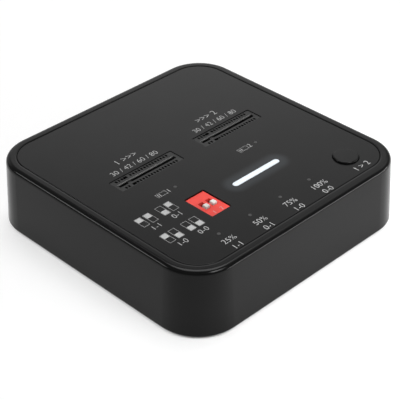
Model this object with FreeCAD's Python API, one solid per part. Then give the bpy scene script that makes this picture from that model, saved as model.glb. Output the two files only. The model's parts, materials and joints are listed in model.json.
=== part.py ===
import FreeCAD, Part
import math
import os

# A desk dock for two bare drive cards: a flat square case with two card sockets, a two-way slide
# switch, a start button and indicator lights on top, and a data and a power port at the back.
# Millimetres. The origin is on the table under the middle of the case, with +X to the right,
# +Y to the back and +Z up. Places in plan are shares of the top's width, from its middle.

# Case
TOP_WIDTH = 80.0            # square outline at the top
CORNER_RADIUS = 11.6        # upright corners, at the top
WALL_LEAN = 1.05            # how far each wall flares out from the top to the bottom
RIM_ROUND = 1.5             # outer top edge
RIM_EDGE = 0.08             # depth of the shallow bevel on the rim's inner edge
RIM_EDGE_WIDTH = 0.4
LOW_EDGE = 0.3              # bevel on the outer bottom edge
WALL = 2.0
DECK = 1.6                  # top wall, under the panel
LIP = 1.0                   # wall left outside the cover
RIB = 1.2

# Top panel and its tape
RIM_WIDTH = 2.8
PANEL_GAP = 0.2
PANEL_THICKNESS = 1.2
PANEL_DROP = 0.15           # panel face below the rim
PANEL_EDGE = 0.15           # round on the panel's upper edge
TAPE = 0.15
TAPE_MARGIN = 0.6           # tape stays this far from every edge
DECK_MARGIN = 0.6           # openings in the deck are this much wider than in the panel

# Bottom cover, feet and cover screws, which sit on the corner bosses
CORNER_INSET = 0.094 * TOP_WIDTH    # bosses, screws and feet, in from the top outline
COVER_GAP = 0.15
FOOT_RADIUS = 4.5
FOOT_SEAT = 0.8             # depth of a foot's recess
FOOT_STANDOFF = 0.8         # case above the table
FOOT_EDGE = 0.4             # bevel on a foot's lower edge
FOOT_GAP = 0.1
SCREW_RADIUS = 1.1
SCREW_HEAD_RADIUS = 2.0
SCREW_SEAT = 0.3            # cover left above the countersink
SCREW_GRIP = 5.0            # thread in a boss
SCREW_GAP = 0.06
PILOT_SPARE = 0.5           # pilot hole past the screw's tip
BOSS_RADIUS = 2.5
DRIVE_RADIUS = 0.8          # cross recess, drawn as a plain blind hole
DRIVE_DEPTH = 0.5

# Circuit board, on posts under the deck
BOARD = 1.6
BOARD_GAP = 0.5
BOSS_GAP = 0.5
POST_INSET = 6.5
POST_Y = 0.175 * TOP_WIDTH
POST_RADIUS = 2.4
BOARD_SCREW_RADIUS = 1.0
BOARD_SCREW_HEAD_RADIUS = 1.9
BOARD_SCREW_HEAD = 1.2
BOARD_SCREW_GRIP = 2.4
PIN_GAP = 0.06              # round a pin in its own hole
TAB_RISE = 0.5              # solder tabs and legs above the board

# Card sockets
SOCKET_SPACING = 0.38 * TOP_WIDTH
SOCKET_Y = 0.049 * TOP_WIDTH
SOCKET_LENGTH = 22.0
SOCKET_WIDTH = 5.4
SOCKET_GAP = 0.1            # to the panel's opening
SOCKET_DROP = 0.2           # socket's top below the panel's face
SOCKET_STANDOFF = 0.35
SOCKET_PAD = 1.2
SOCKET_ROUND = 0.3
CARD_SLOT_LENGTH = 20.2
CARD_SLOT_WIDTH = 1.0
CARD_SLOT_DEPTH = 4.2
CARD_LEAD_IN = 0.25         # depth of the slot's sloping mouth
CARD_LEAD_IN_WIDTH = 0.32
KEY_OFFSET = -6.125
KEY_WIDTH = 1.1
KEY_DROP = 0.5
CONTACT_PITCH = 0.5
BACK_CONTACT_COUNT = 38
FRONT_CONTACT_COUNT = 37
CONTACT_ROW = 1.88          # a row's distance from the card slot's middle
KEY_CLEAR = 1.0             # no contacts this close to the key
POCKET_WIDTH = 0.34
POCKET_DEPTH = 0.9
WINDOW_LENGTH = 0.6         # opening in the socket's top over every second pocket
WINDOW_DEPTH = 0.45
KEY_WINDOW_WIDTH = 1.3
KEY_WINDOW_DEPTH = 1.2
CONTACT_WIDTH = 0.25
CONTACT_THICKNESS = 0.2
CONTACT_LEAF = 0.4
CONTACT_ARM = 0.3           # arm from the leaf to the slot's mouth
CONTACT_ROOF = 0.6          # socket left above the arm
CONTACT_GAP = 0.05          # round the arm, and tip below the mouth's slope
CONTACT_TAIL = 0.7          # tail past the socket's side

# Slide switch
SWITCH_X = -0.181 * TOP_WIDTH
SWITCH_Y = -0.224 * TOP_WIDTH
SWITCH_WIDTH = 6.6
SWITCH_DEPTH = 9.9
SWITCH_HEIGHT = 6.3
SWITCH_DROP = 0.3           # its top below the panel's face
SWITCH_GAP = 0.15
SWITCH_ROUND = 0.25
SWITCH_BASE = 2.2
SWITCH_WALL = 0.6
SWITCH_ROOF = 0.9
LEVER_PITCH = 2.54
LEVER_WIDTH = 1.3
LEVER_LENGTH = 1.4
LEVER_PROUD = 0.7
LEVER_ROUND = 0.2
LEVER_TRAVEL = 1.5
LEVER_GAP = 0.15
LEVER_FOOT_WIDTH = 1.9
LEVER_FOOT_LENGTH = 3.2
WIPER = 0.2
WIPER_WIDTH = 1.2
WIPER_LENGTH = 4.4
TERMINAL_ROW = 7.62
TERMINAL_WIDTH = 0.5
TERMINAL_THICKNESS = 0.3
TERMINAL_REACH = 1.5        # pin length under the board

# Start button and the push switch under it
BUTTON_X = 0.334 * TOP_WIDTH
BUTTON_Y = -0.364 * TOP_WIDTH
BUTTON_RADIUS = 3.5
BUTTON_GAP = 0.2
BUTTON_PROUD = 0.55
BUTTON_ROUND = 0.35
BUTTON_TRAVEL = 0.35
FLANGE_RADIUS = 4.4
FLANGE = 0.8
FLANGE_PLAY = 0.1
FLANGE_GAP = 0.3
STEM_RADIUS = 1.2
STEM = 0.3
PUSH_WIDTH = 4.5
PUSH_ROUND = 0.3
PUSH_PLATE = 0.2
PLUNGER_RADIUS = 1.2
PLUNGER_SPARE = 0.45        # plunger left above its plate at full travel
PLUNGER_GAP = 0.15
COLLAR_RADIUS = 1.5
COLLAR = 0.5
COLLAR_PLAY = 0.1
DOME_RADIUS = 1.4
DOME_SPARE = 0.1            # dome left at full travel
DOME_THICKNESS = 0.1
DOME_GAP = 0.05
PUSH_PIN_X = 1.85
PUSH_PIN_Y = 1.75
PUSH_PIN_DEPTH = 1.0        # pin inside the base

# Lights: chips on the board under light pipes, and a lit strip
PROGRESS_X = -0.064 * TOP_WIDTH     # middle of the row of progress lights
PROGRESS_Y = -0.365 * TOP_WIDTH
PROGRESS_PITCH = 0.14 * TOP_WIDTH
PROGRESS_COUNT = 4
DRIVE_LIGHT_Y = -0.085 * TOP_WIDTH
PIPE_TIP_RADIUS = 0.5
PIPE_RADIUS = 0.9
PIPE_FLANGE_RADIUS = 1.4
PIPE_FLANGE = 0.6
PIPE_GAP = 0.05
LIGHT_LENGTH = 1.6
LIGHT_WIDTH = 0.8
LIGHT_HEIGHT = 0.6
LIGHT_GAP = 0.3
STRIP_X = 0.056 * TOP_WIDTH
STRIP_Y = -0.214 * TOP_WIDTH
STRIP_LENGTH = 17.2
STRIP_WIDTH = 1.8
STRIP_LIGHT_SPACING = STRIP_LENGTH / 2

# Data port at the back
USB_X = -0.15 * TOP_WIDTH
USB_WIDTH = 8.94
USB_HEIGHT = 3.26
USB_SHELL = 0.3
USB_LENGTH = 7.35
USB_BACK = 2.0
USB_INSERT_GAP = 0.05
USB_TONGUE_WIDTH = 6.69
USB_TONGUE = 0.7
USB_TONGUE_SETBACK = 0.9
USB_CONTACT_COUNT = 12
USB_CONTACT_PITCH = 0.5
USB_CONTACT_WIDTH = 0.25
USB_CONTACT = 0.05
USB_CONTACT_LENGTH = 3.2
USB_LEG_WIDTH = 0.9
USB_LEG_SPACING = 2.9
USB_LEG_INSET = 1.0         # first legs, from the receptacle's back
PORT_RECESS = 0.4           # port mouths behind the wall's face
PORT_GAP = 0.2

# Power jack at the back
JACK_X = 0.175 * TOP_WIDTH
JACK_BARREL_RADIUS = 3.9
JACK_SHOULDER = 0.4         # block past the barrel, above and below
JACK_SIDE = 0.6
JACK_LENGTH = 12.0
JACK_BORE_RADIUS = 3.0
JACK_BORE_DEPTH = 9.5
JACK_PIN_RADIUS = 1.0
JACK_PIN_DROP = 1.0
JACK_PIN_GAP = 0.02
JACK_FLOOR_GAP = 0.45
JACK_WALL_GAP = 0.3
JACK_TAB = 0.4
JACK_TAB_WIDTH = 2.0
JACK_SPRING = 0.35

# Chips under the board
CHIP_WIDTH = 8.0
CHIP_HEIGHT = 0.9
CHIP_Y = 0.05 * TOP_WIDTH
CONTROL_CHIP_WIDTH = 9.0
CONTROL_CHIP_Y = -0.15 * TOP_WIDTH
INDUCTOR_WIDTH = 4.2
INDUCTOR_HEIGHT = 2.0
INDUCTOR_Y = 0.225 * TOP_WIDTH
INDUCTOR_SPACING = 7.0
CHIP_ROUND = 0.3
CAPACITOR_LENGTH = 1.6
CAPACITOR_WIDTH = 0.8
CAPACITOR_COUNT = 6
CAPACITOR_PITCH = 3.0
CAPACITOR_Y = -0.038 * TOP_WIDTH

# Heights, stacked from the table up
JACK_HEIGHT = 2 * (JACK_BARREL_RADIUS + JACK_SHOULDER)
COUNTERSINK = SCREW_HEAD_RADIUS - SCREW_RADIUS
CASE_LOW = FOOT_STANDOFF
SEAT_TOP = CASE_LOW + FOOT_SEAT
COVER_TOP = SEAT_TOP + COUNTERSINK + SCREW_SEAT
BOARD_LOW = COVER_TOP + JACK_FLOOR_GAP + JACK_HEIGHT
BOARD_TOP = BOARD_LOW + BOARD
SWITCH_BASE_TOP = BOARD_TOP + SWITCH_BASE
SWITCH_TOP = BOARD_TOP + SWITCH_HEIGHT
PANEL_TOP = SWITCH_TOP + SWITCH_DROP
PANEL_LOW = PANEL_TOP - PANEL_THICKNESS
DECK_TOP = PANEL_LOW - TAPE
DECK_LOW = DECK_TOP - DECK
RIM_TOP = PANEL_TOP + PANEL_DROP
CASE_HEIGHT = RIM_TOP - CASE_LOW
SOCKET_LOW = BOARD_TOP + SOCKET_STANDOFF
SOCKET_TOP = PANEL_TOP - SOCKET_DROP
ARM_TOP = SOCKET_TOP - CONTACT_ROOF
ARM_LOW = ARM_TOP - CONTACT_ARM
FLANGE_TOP = PANEL_LOW - FLANGE_PLAY
FLANGE_LOW = FLANGE_TOP - FLANGE
PLUNGER_TOP = FLANGE_LOW - STEM
PUSH_TOP = PLUNGER_TOP - BUTTON_TRAVEL - PLUNGER_SPARE
PLATE_LOW = PUSH_TOP - PUSH_PLATE
COLLAR_TOP = PLATE_LOW - COLLAR_PLAY
COLLAR_LOW = COLLAR_TOP - COLLAR
DOME_HEIGHT = BUTTON_TRAVEL + DOME_SPARE
DOME_FLOOR = COLLAR_LOW - DOME_GAP - DOME_HEIGHT
LIGHT_TOP = BOARD_TOP + LIGHT_HEIGHT
PIPE_LOW = LIGHT_TOP + LIGHT_GAP
USB_Z = BOARD_LOW - USB_HEIGHT / 2
JACK_Z = BOARD_LOW - JACK_HEIGHT / 2

# Places in plan
SOCKET_PLACES = [-SOCKET_SPACING / 2, SOCKET_SPACING / 2]
CORNER_PLACE = TOP_WIDTH / 2 - CORNER_INSET
CORNERS = [(-CORNER_PLACE, -CORNER_PLACE), (CORNER_PLACE, -CORNER_PLACE),
           (-CORNER_PLACE, CORNER_PLACE), (CORNER_PLACE, CORNER_PLACE)]
CORNER_NAMES = ["front_left", "front_right", "back_left", "back_right"]
POST_X = TOP_WIDTH / 2 - POST_INSET
POSTS = [(-POST_X, -POST_Y), (POST_X, -POST_Y), (-POST_X, POST_Y), (POST_X, POST_Y)]
PROGRESS_LEFT = PROGRESS_X - PROGRESS_PITCH * (PROGRESS_COUNT - 1) / 2
PROGRESS_PLACES = [(PROGRESS_LEFT + PROGRESS_PITCH * i, PROGRESS_Y) for i in range(PROGRESS_COUNT)]
DRIVE_LIGHT_PLACES = [(x, DRIVE_LIGHT_Y) for x in SOCKET_PLACES]
LEVER_PLACES = [SWITCH_X - LEVER_PITCH / 2, SWITCH_X + LEVER_PITCH / 2]
LEVER_REST_Y = SWITCH_Y - LEVER_TRAVEL / 2


def vector(x, y, z):
    return FreeCAD.Vector(x, y, z)


def corner_arc(x, y, radius, start):
    """A quarter circle round a corner's centre, from a start angle in degrees."""
    points = []
    for turn in (0, 45, 90):
        angle = math.radians(start + turn)
        points.append(vector(x + radius * math.cos(angle), y + radius * math.sin(angle), 0))
    return points


def rounded_outline(width, depth, radius, z):
    """A level rectangle with round corners, as a wire round the Z axis."""
    sides = [(1, 1), (-1, 1), (-1, -1), (1, -1)]
    arcs = []
    for quarter, (side_x, side_y) in enumerate(sides):
        x = side_x * (width / 2 - radius)
        y = side_y * (depth / 2 - radius)
        arcs.append(corner_arc(x, y, radius, 90 * quarter))
    edges = []
    for arc, following in zip(arcs, arcs[1:] + arcs[:1]):
        edges.append(Part.Arc(*arc).toShape())
        if not arc[2].isEqual(following[0], 1e-6):
            edges.append(Part.makeLine(arc[2], following[0]))
    wire = Part.Wire(edges)
    wire.translate(vector(0, 0, z))
    return wire


def rounded_block(width, depth, radius, x, y, low, high):
    """An upright block with round upright edges."""
    upright = Part.Face(rounded_outline(width, depth, radius, low)).extrude(vector(0, 0, high - low))
    upright.translate(vector(x, y, 0))
    return upright


def block(width, depth, x, y, low, high):
    """A plain block, centred in plan."""
    return Part.makeBox(width, depth, high - low, vector(x - width / 2, y - depth / 2, low))


def cylinder(radius, x, y, low, high):
    return Part.makeCylinder(radius, high - low, vector(x, y, low))


def port_block(width, height, radius, x, z, front, back):
    """A block with round long edges that lies along Y."""
    lying = rounded_block(width, height, radius, 0, 0, 0, back - front)
    lying.rotate(vector(0, 0, 0), vector(1, 0, 0), 90)
    lying.translate(vector(x, back, z))
    return lying


def port_cylinder(radius, x, z, front, back):
    return Part.makeCylinder(radius, back - front, vector(x, front, z), vector(0, 1, 0))


def turned(profile, x, y):
    """A solid of revolution from (radius, height) points."""
    points = [vector(radius, 0, z) for radius, z in profile]
    face = Part.Face(Part.makePolygon(points + points[:1]))
    solid = face.revolve(vector(0, 0, 0), vector(0, 0, 1), 360)
    solid.translate(vector(x, y, 0))
    return solid


def level_edges(shape, z):
    """The edges that lie at one height."""
    return [e for e in shape.Edges if all(abs(v.Z - z) < 1e-6 for v in e.Vertexes)]


def group(solids):
    return Part.makeCompound(solids)


def case_half(z, inset):
    """Half the case's width at a height, measured that far in from its face."""
    lean = WALL_LEAN * (RIM_TOP - z) / CASE_HEIGHT
    return TOP_WIDTH / 2 + lean - inset


def case_loft(levels):
    """A block through outlines like the case's own, each as its half width and height."""
    wires = []
    for half, z in levels:
        radius = CORNER_RADIUS + half - TOP_WIDTH / 2
        wires.append(rounded_outline(2 * half, 2 * half, radius, z))
    return Part.makeLoft(wires, True, True)


def case_block(low, high, inset):
    """The case's leaning block between two heights, that far in from its face."""
    return case_loft([(case_half(z, inset), z) for z in (low, high)])


def socket_openings(low, high, margin):
    """Openings for both card sockets and the slide switch."""
    spare = SOCKET_GAP + margin
    cutters = []
    for x in SOCKET_PLACES:
        cutters.append(rounded_block(SOCKET_LENGTH + 2 * spare, SOCKET_WIDTH + 2 * spare,
                                     SOCKET_ROUND + spare, x, SOCKET_Y, low, high))
    spare = SWITCH_GAP + margin
    cutters.append(rounded_block(SWITCH_WIDTH + 2 * spare, SWITCH_DEPTH + 2 * spare,
                                 SWITCH_ROUND + spare, SWITCH_X, SWITCH_Y, low, high))
    return cutters


def strip_block(margin, low, high):
    """The lit strip's round-ended block, grown by a margin."""
    width = STRIP_WIDTH + 2 * margin
    return rounded_block(STRIP_LENGTH + 2 * margin, width, width / 2, STRIP_X, STRIP_Y, low, high)


def light_openings(low, high, pipe_radius, strip_margin):
    """Openings for the light pipes and the lit strip."""
    cutters = [strip_block(strip_margin, low, high)]
    for x, y in PROGRESS_PLACES + DRIVE_LIGHT_PLACES:
        cutters.append(cylinder(pipe_radius, x, y, low, high))
    return cutters


def deck_openings(low, high, margin):
    """All openings through the deck, grown by a margin."""
    cutters = socket_openings(low, high, DECK_MARGIN + margin)
    cutters += light_openings(low, high, PIPE_RADIUS + PIPE_GAP + margin,
                              PIPE_RADIUS - PIPE_TIP_RADIUS + PIPE_GAP + margin)
    cutters.append(cylinder(FLANGE_RADIUS + FLANGE_GAP + margin, BUTTON_X, BUTTON_Y, low, high))
    return cutters


def corner_boss(x, y):
    """A screw boss from the deck to the cover, with two ribs to the walls."""
    boss = cylinder(BOSS_RADIUS, x, y, COVER_TOP, DECK_TOP)
    rib_low = BOARD_TOP + BOARD_GAP
    reach = TOP_WIDTH / 2 - WALL - CORNER_PLACE + RIB / 2
    along_x = block(reach, RIB, x + math.copysign(reach / 2, x), y, rib_low, DECK_TOP)
    along_y = block(RIB, reach, x, y + math.copysign(reach / 2, y), rib_low, DECK_TOP)
    return boss.fuse([along_x, along_y])


def port_openings():
    """The two holes in the back wall."""
    front = case_half(DECK_LOW, WALL) - LIP
    back = case_half(CASE_LOW, 0) + LIP
    height = USB_HEIGHT + 2 * PORT_GAP
    usb = port_block(USB_WIDTH + 2 * PORT_GAP, height, height / 2, USB_X, USB_Z, front, back)
    jack = port_cylinder(JACK_BARREL_RADIUS + PORT_GAP, JACK_X, JACK_Z, front, back)
    return [usb, jack]


def top_housing():
    """The moulded case: leaning walls, a rim round the panel's recess, bosses and board posts."""
    shell = case_block(CASE_LOW, RIM_TOP, 0)
    shell = shell.makeFillet(RIM_ROUND, level_edges(shell, RIM_TOP))
    shell = shell.makeChamfer(LOW_EDGE, level_edges(shell, CASE_LOW))
    recess_half = TOP_WIDTH / 2 - RIM_WIDTH
    recess = case_loft([(recess_half, DECK_TOP), (recess_half, RIM_TOP)])
    bevel = case_loft([(recess_half, RIM_TOP - RIM_EDGE), (recess_half + RIM_EDGE_WIDTH, RIM_TOP)])
    cavity = case_block(CASE_LOW, DECK_LOW, WALL)
    rebate = case_block(CASE_LOW, COVER_TOP, LIP)
    shell = shell.cut([recess, bevel, cavity, rebate])
    added = [corner_boss(x, y) for x, y in CORNERS]
    added += [cylinder(POST_RADIUS, x, y, BOARD_TOP, DECK_TOP) for x, y in POSTS]
    shell = shell.fuse(added)
    cutters = deck_openings(DECK_LOW, DECK_TOP, 0) + port_openings()
    for x, y in CORNERS:
        cutters.append(cylinder(SCREW_RADIUS + SCREW_GAP, x, y, COVER_TOP,
                                COVER_TOP + SCREW_GRIP + PILOT_SPARE))
    for x, y in POSTS:
        cutters.append(cylinder(BOARD_SCREW_RADIUS + SCREW_GAP, x, y, BOARD_TOP,
                                BOARD_TOP + BOARD_SCREW_GRIP + PILOT_SPARE))
    return shell.cut(cutters).removeSplitter()


def top_panel():
    """The inlay plate, with an opening for all that shows on top."""
    width = TOP_WIDTH - 2 * (RIM_WIDTH + PANEL_GAP)
    radius = CORNER_RADIUS - RIM_WIDTH - PANEL_GAP
    plate = rounded_block(width, width, radius, 0, 0, PANEL_LOW, PANEL_TOP)
    plate = plate.makeFillet(PANEL_EDGE, level_edges(plate, PANEL_TOP))
    cutters = socket_openings(PANEL_LOW, PANEL_TOP, 0)
    cutters += light_openings(PANEL_LOW, PANEL_TOP, PIPE_TIP_RADIUS + PIPE_GAP, PIPE_GAP)
    cutters.append(cylinder(BUTTON_RADIUS + BUTTON_GAP, BUTTON_X, BUTTON_Y, PANEL_LOW, PANEL_TOP))
    return plate.cut(cutters)


def panel_tape():
    """The double-sided tape between the deck and the panel."""
    inset = RIM_WIDTH + PANEL_GAP + TAPE_MARGIN
    width = TOP_WIDTH - 2 * inset
    sheet = rounded_block(width, width, CORNER_RADIUS - inset, 0, 0, DECK_TOP, PANEL_LOW)
    return sheet.cut(deck_openings(DECK_TOP, PANEL_LOW, TAPE_MARGIN))


def screw_hole(x, y):
    """A countersunk hole in the cover, wide end down."""
    wide = SCREW_HEAD_RADIUS + SCREW_GAP
    narrow = SCREW_RADIUS + SCREW_GAP
    sink_top = SEAT_TOP + COUNTERSINK
    return turned([(0, SEAT_TOP), (wide, SEAT_TOP), (narrow, sink_top), (narrow, COVER_TOP), (0, COVER_TOP)],
                  x, y)


def bottom_cover():
    """The plate that closes the case, with a recess for each foot."""
    plate = case_block(CASE_LOW, COVER_TOP, LIP + COVER_GAP)
    cutters = []
    for x, y in CORNERS:
        cutters.append(cylinder(FOOT_RADIUS + FOOT_GAP, x, y, CASE_LOW, SEAT_TOP))
        cutters.append(screw_hole(x, y))
    return plate.cut(cutters)


def foot(x, y):
    """A round rubber foot, stuck in its recess."""
    disc = cylinder(FOOT_RADIUS, x, y, 0, SEAT_TOP)
    return disc.makeChamfer(FOOT_EDGE, level_edges(disc, 0))


def cover_screw(x, y):
    """A countersunk screw, head down."""
    sink_top = SEAT_TOP + COUNTERSINK
    tip = COVER_TOP + SCREW_GRIP
    screw = turned([(0, SEAT_TOP), (SCREW_HEAD_RADIUS, SEAT_TOP), (SCREW_RADIUS, sink_top),
                    (SCREW_RADIUS, tip), (0, tip)], x, y)
    return screw.cut(cylinder(DRIVE_RADIUS, x, y, SEAT_TOP, SEAT_TOP + DRIVE_DEPTH))


def board_screw(x, y):
    """A pan-head screw under the board, in its post."""
    head_low = BOARD_LOW - BOARD_SCREW_HEAD
    tip = BOARD_TOP + BOARD_SCREW_GRIP
    screw = turned([(0, head_low), (BOARD_SCREW_HEAD_RADIUS, head_low), (BOARD_SCREW_HEAD_RADIUS, BOARD_LOW),
                    (BOARD_SCREW_RADIUS, BOARD_LOW), (BOARD_SCREW_RADIUS, tip), (0, tip)], x, y)
    return screw.cut(cylinder(DRIVE_RADIUS, x, y, head_low, head_low + DRIVE_DEPTH))


def switch_pins(gap, low, high):
    """The slide switch's four terminals, or with a gap the holes for them."""
    pins = []
    for x in LEVER_PLACES:
        for side in (-1, 1):
            pins.append(block(TERMINAL_WIDTH + 2 * gap, TERMINAL_THICKNESS + 2 * gap,
                              x, SWITCH_Y + side * TERMINAL_ROW / 2, low, high))
    return pins


def push_pins(gap, low, high):
    """The push switch's four terminals, or with a gap the holes for them."""
    pins = []
    for side_x in (-1, 1):
        for side_y in (-1, 1):
            pins.append(block(TERMINAL_WIDTH + 2 * gap, TERMINAL_THICKNESS + 2 * gap,
                              BUTTON_X + side_x * PUSH_PIN_X, BUTTON_Y + side_y * PUSH_PIN_Y, low, high))
    return pins


def usb_mouth():
    return case_half(USB_Z, PORT_RECESS)


def usb_legs(gap, low, high):
    """The receptacle's legs through the board, or with a gap the holes for them."""
    legs = []
    first = usb_mouth() - USB_LENGTH + USB_LEG_INSET
    for side in (-1, 1):
        x = USB_X + side * (USB_WIDTH - USB_SHELL) / 2
        for y in (first, first + USB_LEG_SPACING):
            legs.append(block(USB_SHELL + 2 * gap, USB_LEG_WIDTH + 2 * gap, x, y, low, high))
    return legs


def jack_front():
    """The front face of the jack's block, just inside the back wall."""
    return case_half(BOARD_LOW, WALL + JACK_WALL_GAP)


def jack_tab(x, gap, low, high):
    """A solder tab behind the jack's block, or with a gap the hole for it."""
    y = jack_front() - JACK_LENGTH - JACK_TAB / 2
    return block(JACK_TAB_WIDTH + 2 * gap, JACK_TAB + 2 * gap, x, y, low, high)


def jack_spring_x():
    """The middle of the spring's tab, beside the bore."""
    return JACK_X + JACK_BORE_RADIUS + JACK_SPRING / 2


def main_board():
    """The circuit board, with holes for bosses, screws and pins."""
    half = case_half(BOARD_TOP, WALL + BOARD_GAP)
    radius = CORNER_RADIUS + half - TOP_WIDTH / 2
    board = rounded_block(2 * half, 2 * half, radius, 0, 0, BOARD_LOW, BOARD_TOP)
    holes = [cylinder(BOSS_RADIUS + BOSS_GAP, x, y, BOARD_LOW, BOARD_TOP) for x, y in CORNERS]
    holes += [cylinder(BOARD_SCREW_RADIUS + SCREW_GAP, x, y, BOARD_LOW, BOARD_TOP) for x, y in POSTS]
    holes += switch_pins(PIN_GAP, BOARD_LOW, BOARD_TOP)
    holes += push_pins(PIN_GAP, BOARD_LOW, BOARD_TOP)
    holes += usb_legs(PIN_GAP, BOARD_LOW, BOARD_TOP)
    for x in (JACK_X, jack_spring_x()):
        holes.append(jack_tab(x, PIN_GAP, BOARD_LOW, BOARD_TOP))
    return board.cut(holes)


def contact_places(x, count):
    """Contact places along one row of a socket, none of them at the key."""
    places = [CONTACT_PITCH * (i - (count - 1) / 2) for i in range(count)]
    return [x + place for place in places if abs(place - KEY_OFFSET) > KEY_CLEAR]


def contact_rows(x):
    """Both rows of a socket: the side they are on and their places."""
    return [(1, contact_places(x, BACK_CONTACT_COUNT)), (-1, contact_places(x, FRONT_CONTACT_COUNT))]


def lead_in(x):
    """The wedge that opens the card slot's mouth."""
    half = CARD_SLOT_WIDTH / 2
    mouth = half + CARD_LEAD_IN_WIDTH
    low = SOCKET_TOP - CARD_LEAD_IN
    left = x - CARD_SLOT_LENGTH / 2
    points = [vector(left, SOCKET_Y - half, low), vector(left, SOCKET_Y + half, low),
              vector(left, SOCKET_Y + mouth, SOCKET_TOP), vector(left, SOCKET_Y - mouth, SOCKET_TOP)]
    face = Part.Face(Part.makePolygon(points + points[:1]))
    return face.extrude(vector(CARD_SLOT_LENGTH, 0, 0))


def row_block(x, side, near, far, low, high):
    """A cutter as wide as a pocket, between two distances from the card slot's middle."""
    return block(POCKET_WIDTH, far - near, x, SOCKET_Y + side * (near + far) / 2, low, high)


def contact_cutters(x, side):
    """Room for one contact: a pocket for its leaf, a tunnel for its arm, a notch for its tip."""
    inner = CONTACT_ROW - POCKET_DEPTH / 2
    outer = CONTACT_ROW + POCKET_DEPTH / 2
    mouth = CARD_SLOT_WIDTH / 2 + CARD_LEAD_IN_WIDTH
    low = ARM_LOW - CONTACT_GAP
    high = ARM_TOP + CONTACT_GAP
    return [row_block(x, side, inner, outer, SOCKET_LOW, high), row_block(x, side, mouth, inner, low, high),
            row_block(x, side, 0, mouth, low, SOCKET_TOP)]


def window_cutters(x, side):
    """An opening in the socket's top, down into a contact's pocket."""
    inner = CONTACT_ROW - POCKET_DEPTH / 2
    outer = CONTACT_ROW + POCKET_DEPTH / 2
    return [block(WINDOW_LENGTH, POCKET_DEPTH, x, SOCKET_Y + side * CONTACT_ROW, SOCKET_TOP - WINDOW_DEPTH,
                  SOCKET_TOP), row_block(x, side, inner, outer, ARM_TOP, SOCKET_TOP)]


def m2_socket(x):
    """A socket's insulator: keyed card slot, two rows of contact pockets, pads at its ends."""
    body = rounded_block(SOCKET_LENGTH, SOCKET_WIDTH, SOCKET_ROUND, x, SOCKET_Y, BOARD_TOP, SOCKET_TOP)
    between_pads = block(SOCKET_LENGTH - 2 * SOCKET_PAD, SOCKET_WIDTH, x, SOCKET_Y, BOARD_TOP, SOCKET_LOW)
    slot_low = SOCKET_TOP - CARD_SLOT_DEPTH
    slot = block(CARD_SLOT_LENGTH, CARD_SLOT_WIDTH, x, SOCKET_Y, slot_low, SOCKET_TOP).fuse(lead_in(x))
    key_x = x + KEY_OFFSET
    key = block(KEY_WIDTH, CARD_SLOT_WIDTH + 2 * CARD_LEAD_IN_WIDTH, key_x, SOCKET_Y, slot_low,
                SOCKET_TOP - KEY_DROP)
    cutters = [between_pads, slot.cut(key)]
    for side, places in contact_rows(x):
        for place in places:
            cutters += contact_cutters(place, side)
        for place in places[::2]:
            cutters += window_cutters(place, side)
        cutters.append(block(KEY_WINDOW_WIDTH, POCKET_DEPTH, key_x, SOCKET_Y + side * CONTACT_ROW,
                             SOCKET_TOP - KEY_WINDOW_DEPTH, SOCKET_TOP))
    return body.cut(cutters)


def m2_contact(x, side):
    """One bent contact: a tail on the board, a leaf in its pocket, an arm and a tip in the slot's mouth."""
    half = CARD_SLOT_WIDTH / 2
    mouth = half + CARD_LEAD_IN_WIDTH
    inner = CONTACT_ROW - CONTACT_LEAF / 2
    outer = CONTACT_ROW + CONTACT_LEAF / 2
    end = SOCKET_WIDTH / 2 + CONTACT_TAIL
    tail_top = BOARD_TOP + CONTACT_THICKNESS
    tip = SOCKET_TOP - CONTACT_GAP
    outline = [(inner, BOARD_TOP), (end, BOARD_TOP), (end, tail_top), (outer, tail_top), (outer, ARM_TOP),
               (mouth - CONTACT_GAP, ARM_TOP), (mouth - CONTACT_GAP, tip), (half, tip - CARD_LEAD_IN),
               (half, ARM_LOW), (inner, ARM_LOW)]
    left = x - CONTACT_WIDTH / 2
    points = [vector(left, SOCKET_Y + side * away, z) for away, z in outline]
    face = Part.Face(Part.makePolygon(points + points[:1]))
    return face.extrude(vector(CONTACT_WIDTH, 0, 0))


def m2_contacts(x):
    return group([m2_contact(place, side) for side, places in contact_rows(x) for place in places])


def switch_cover():
    """The slide switch's cap, with a slot for each lever."""
    cover = rounded_block(SWITCH_WIDTH, SWITCH_DEPTH, SWITCH_ROUND, SWITCH_X, SWITCH_Y,
                          SWITCH_BASE_TOP, SWITCH_TOP)
    cover = cover.makeFillet(SWITCH_ROUND / 2, level_edges(cover, SWITCH_TOP))
    roof_low = SWITCH_TOP - SWITCH_ROOF
    cutters = [block(SWITCH_WIDTH - 2 * SWITCH_WALL, SWITCH_DEPTH - 2 * SWITCH_WALL, SWITCH_X, SWITCH_Y,
                     SWITCH_BASE_TOP, roof_low)]
    for x in LEVER_PLACES:
        cutters.append(block(LEVER_WIDTH + 2 * LEVER_GAP, LEVER_LENGTH + LEVER_TRAVEL + 2 * LEVER_GAP,
                             x, SWITCH_Y, roof_low, SWITCH_TOP))
    return cover.cut(cutters)


def switch_base():
    """The slide switch's base, with holes for its terminals."""
    base = rounded_block(SWITCH_WIDTH, SWITCH_DEPTH, SWITCH_ROUND, SWITCH_X, SWITCH_Y,
                         BOARD_TOP, SWITCH_BASE_TOP)
    return base.cut(switch_pins(PIN_GAP, BOARD_TOP, SWITCH_BASE_TOP))


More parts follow.
